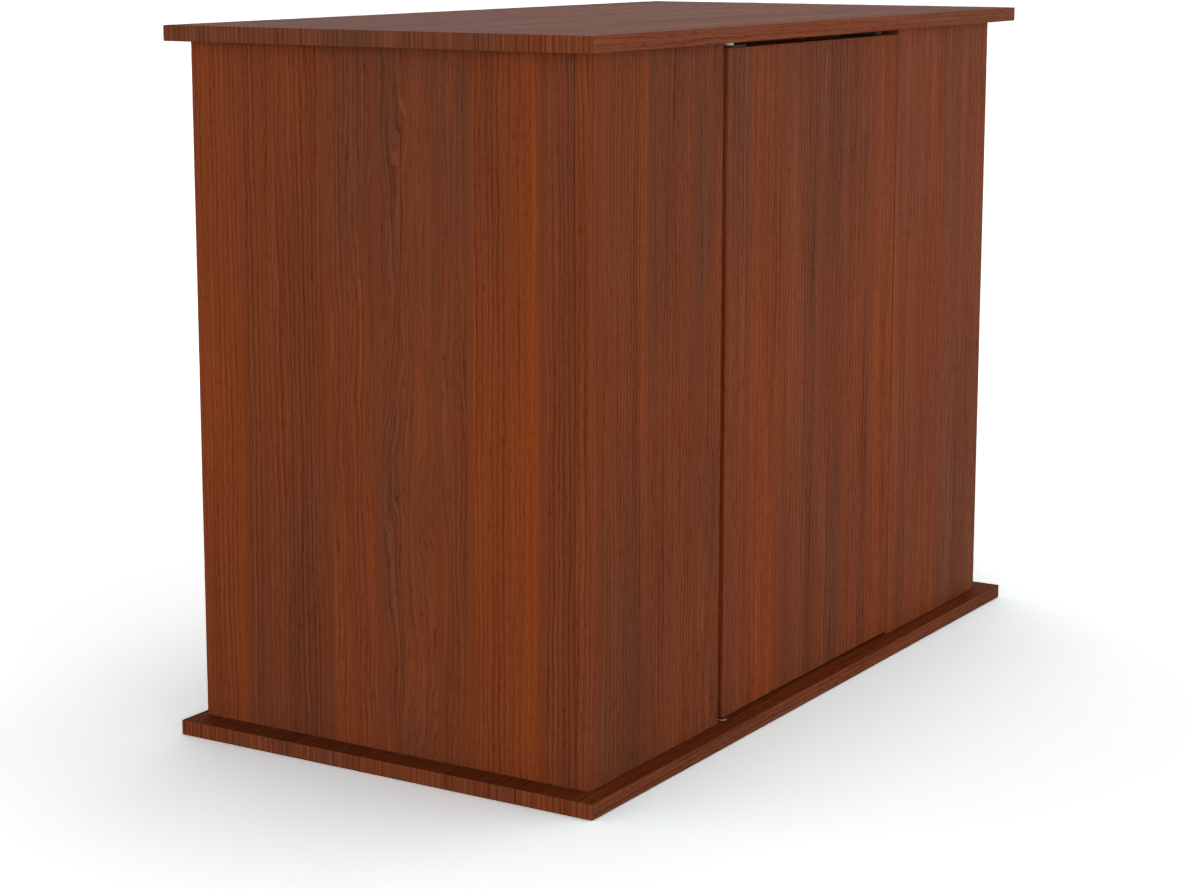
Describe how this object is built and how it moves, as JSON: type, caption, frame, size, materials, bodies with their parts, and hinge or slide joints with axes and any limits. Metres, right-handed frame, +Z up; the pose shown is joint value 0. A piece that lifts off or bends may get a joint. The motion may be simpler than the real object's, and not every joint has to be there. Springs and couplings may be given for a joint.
{
  "type": "aquarium stand",
  "caption": "Aquarium stand: foil-wrapped board cabinet with overhanging top and base, fixed front boards, an inset pivot-hung door with a touch latch, and an open middle at the back.",
  "frame": {"origin": "middle of the footprint, on the floor", "axes": "+X to the right as seen from the front, +Y from the door to the back, +Z up"},
  "size_m": [0.974, 0.504, 0.736],
  "materials": {
    "cherry_foil_board": "satin cherry-grain foil on particle board",
    "zinc_plated_steel": "bright zinc plating",
    "white_nylon": "moulded, slightly glossy",
    "latch_plastic": "dark brown, moulded, fine texture",
    "grey_acetal": "moulded, smooth",
    "black_zinc_steel": "zinc plating, black passivated",
    "ferrite_magnet": "ground ferrite",
    "zinc_casting": "die-cast zinc",
    "beech": "raw turned beech"
  },
  "bodies": {
    "cabinet": {"base_panel": "cherry_foil_board", "top_panel": "cherry_foil_board", "left_side_panel": "cherry_foil_board", "right_side_panel": "cherry_foil_board", "left_front_panel": "cherry_foil_board", "right_front_panel": "cherry_foil_board", "left_back_panel": "cherry_foil_board", "right_back_panel": "cherry_foil_board", "latch_screws": "zinc_plated_steel", "cam_bolts": "zinc_plated_steel", "latch_spring": "zinc_plated_steel", "upper_pivot_bushing": "white_nylon", "lower_pivot_bushing": "white_nylon", "latch_housing": "latch_plastic", "latch_rear_cap": "latch_plastic", "cam_locks": "zinc_casting", "wood_dowels": "beech"},
    "door": {"door_panel": "cherry_foil_board", "upper_pivot_leaf": "black_zinc_steel", "lower_pivot_leaf": "black_zinc_steel", "upper_pivot_pin": "black_zinc_steel", "lower_pivot_pin": "black_zinc_steel", "pivot_leaf_screws": "black_zinc_steel", "strike_plate": "zinc_plated_steel", "strike_screw": "zinc_plated_steel"},
    "plunger": {"latch_plunger": "grey_acetal", "latch_magnet": "ferrite_magnet"}
  },
  "joints": [
    {"name": "door_swing", "type": "hinge", "parent": "cabinet", "child": "door", "pos_m": [-0.1865, -0.226, 0.36635], "axis": [0, 0, -1], "range_deg": [0, 140]},
    {"name": "latch_press", "type": "slide", "parent": "cabinet", "child": "plunger", "axis": [0, 1, 0], "range_m": [0, 0.0024], "stiffness_N_per_m": 250, "springref_m": -0.008, "deforming": ["latch_spring"]}
  ]
}
